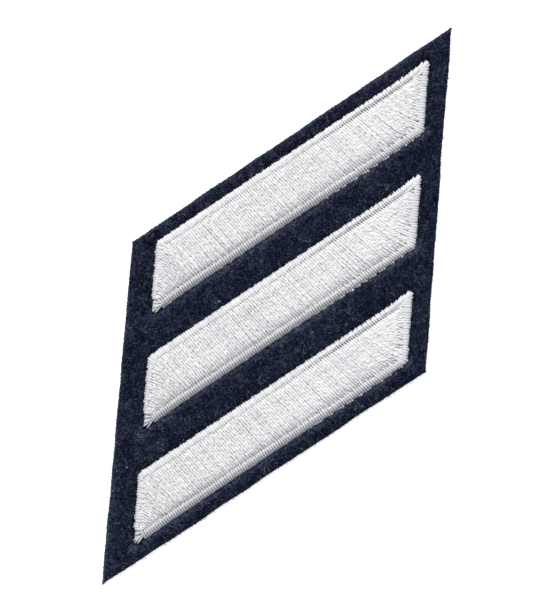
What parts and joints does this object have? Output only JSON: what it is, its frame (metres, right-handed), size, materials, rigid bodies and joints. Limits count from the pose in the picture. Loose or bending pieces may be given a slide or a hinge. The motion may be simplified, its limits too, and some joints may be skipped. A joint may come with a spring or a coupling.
{
  "type": "service stripe",
  "caption": "Slanted navy felt sleeve patch with raised white satin-stitched bars, each bordered by a roll of satin stitch, worn to show years of service.",
  "frame": {"origin": "on the felt's back, in the middle of the box round its outline", "axes": "+X to the right across the face, +Y up the sleeve, +Z out of the face; the bars rise from left to right"},
  "size_m": [0.058, 0.0924, 0.0023],
  "materials": {
    "felt": "mottled wool felt, navy",
    "thread": "satin embroidery thread, white"
  },
  "bodies": {
    "root": {"felt_backing": "felt", "top_bar_fill": "thread", "top_bar_border": "thread", "middle_bar_fill": "thread", "middle_bar_border": "thread", "bottom_bar_fill": "thread", "bottom_bar_border": "thread"}
  },
  "joints": []
}
